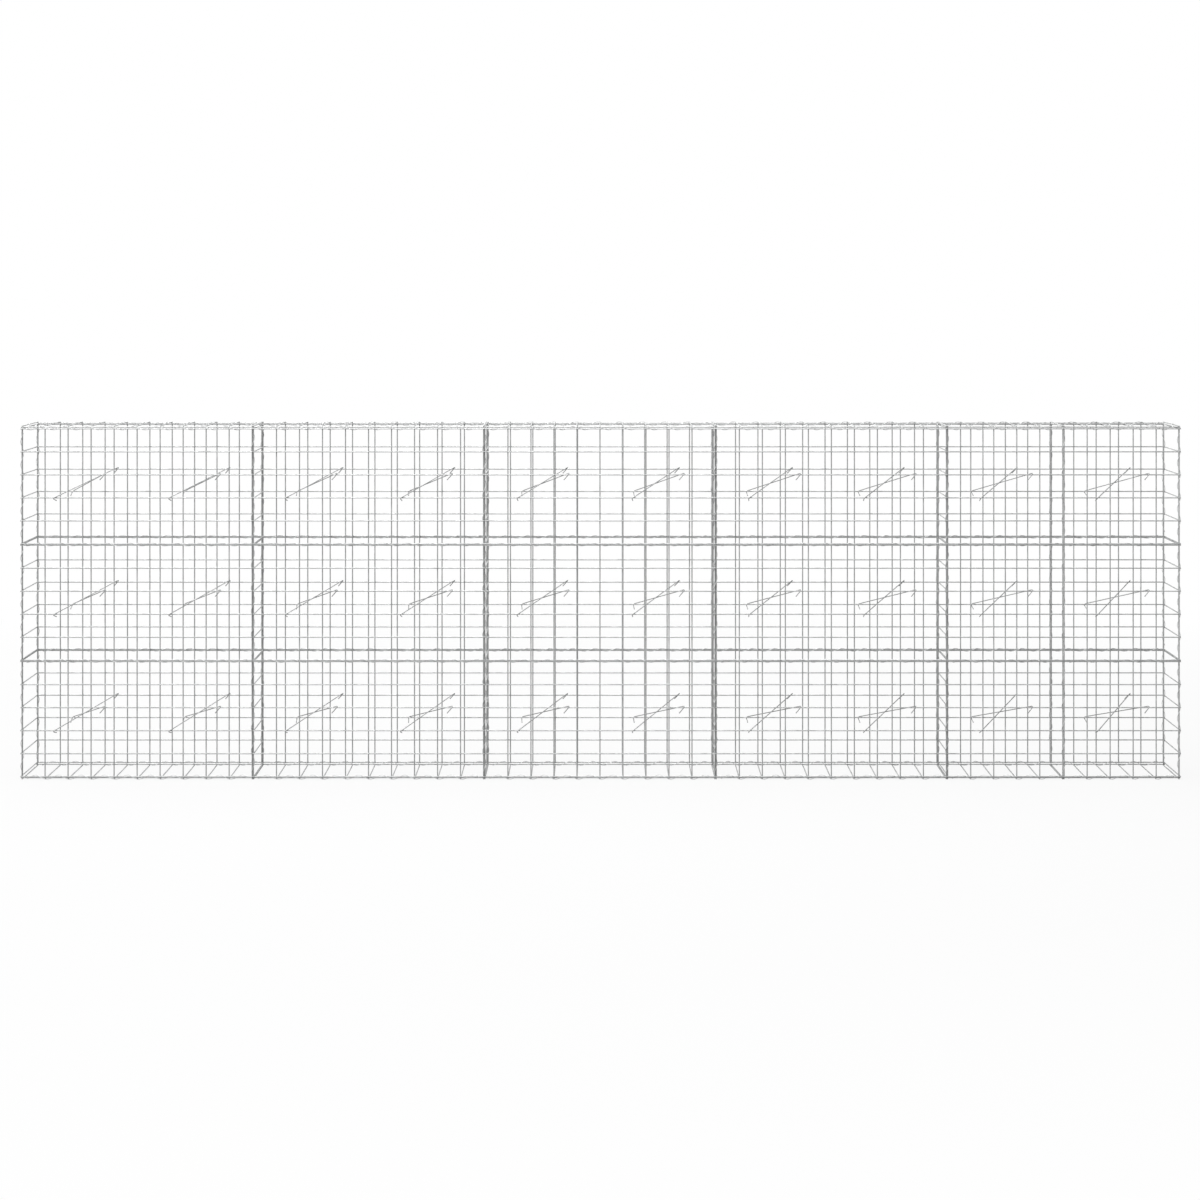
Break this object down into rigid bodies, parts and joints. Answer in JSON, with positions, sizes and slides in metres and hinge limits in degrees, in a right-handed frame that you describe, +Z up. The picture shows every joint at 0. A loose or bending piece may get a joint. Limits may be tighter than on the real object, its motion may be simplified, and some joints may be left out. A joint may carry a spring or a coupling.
{
  "type": "gabion wall",
  "caption": "Empty gabion wall of welded square-mesh baskets in tiers, laced along their edges with wire spirals and braced inside by crossed hooked ties.",
  "frame": {"origin": "centre of the box around the wall, on the ground", "axes": "+X along the wall to the right seen from the front, +Y from the front face to the back, +Z up"},
  "size_m": [5.056, 0.243, 1.5443],
  "materials": {
    "mesh_wire": "galvanised wire, dull grey",
    "spiral_wire": "galvanised wire, dull grey",
    "tie_wire": "galvanised wire, dull grey"
  },
  "bodies": {
    "root": {"front_panel_1": "mesh_wire", "front_panel_2": "mesh_wire", "front_panel_3": "mesh_wire", "front_panel_4": "mesh_wire", "front_panel_5": "mesh_wire", "front_panel_6": "mesh_wire", "back_panel_1": "mesh_wire", "back_panel_2": "mesh_wire", "back_panel_3": "mesh_wire", "back_panel_4": "mesh_wire", "back_panel_5": "mesh_wire", "back_panel_6": "mesh_wire", "left_end_panel": "mesh_wire", "right_end_panel": "mesh_wire", "partition_1": "mesh_wire", "partition_2": "mesh_wire", "partition_3": "mesh_wire", "partition_4": "mesh_wire", "floor_panel_1": "mesh_wire", "floor_panel_2": "mesh_wire", "floor_panel_3": "mesh_wire", "floor_panel_4": "mesh_wire", "floor_panel_5": "mesh_wire", "floor_panel_6": "mesh_wire", "cover_panel_1": "mesh_wire", "cover_panel_2": "mesh_wire", "cover_panel_3": "mesh_wire", "cover_panel_4": "mesh_wire", "cover_panel_5": "mesh_wire", "cover_panel_6": "mesh_wire", "front_upright_spirals": "spiral_wire", "back_upright_spirals": "spiral_wire", "front_tier_spirals": "spiral_wire", "back_tier_spirals": "spiral_wire", "front_base_spirals": "spiral_wire", "back_base_spirals": "spiral_wire", "front_cover_spirals": "spiral_wire", "back_cover_spirals": "spiral_wire", "end_cover_spirals": "spiral_wire", "tie_wires_1": "tie_wire", "tie_wires_2": "tie_wire", "tie_wires_3": "tie_wire"}
  },
  "joints": []
}
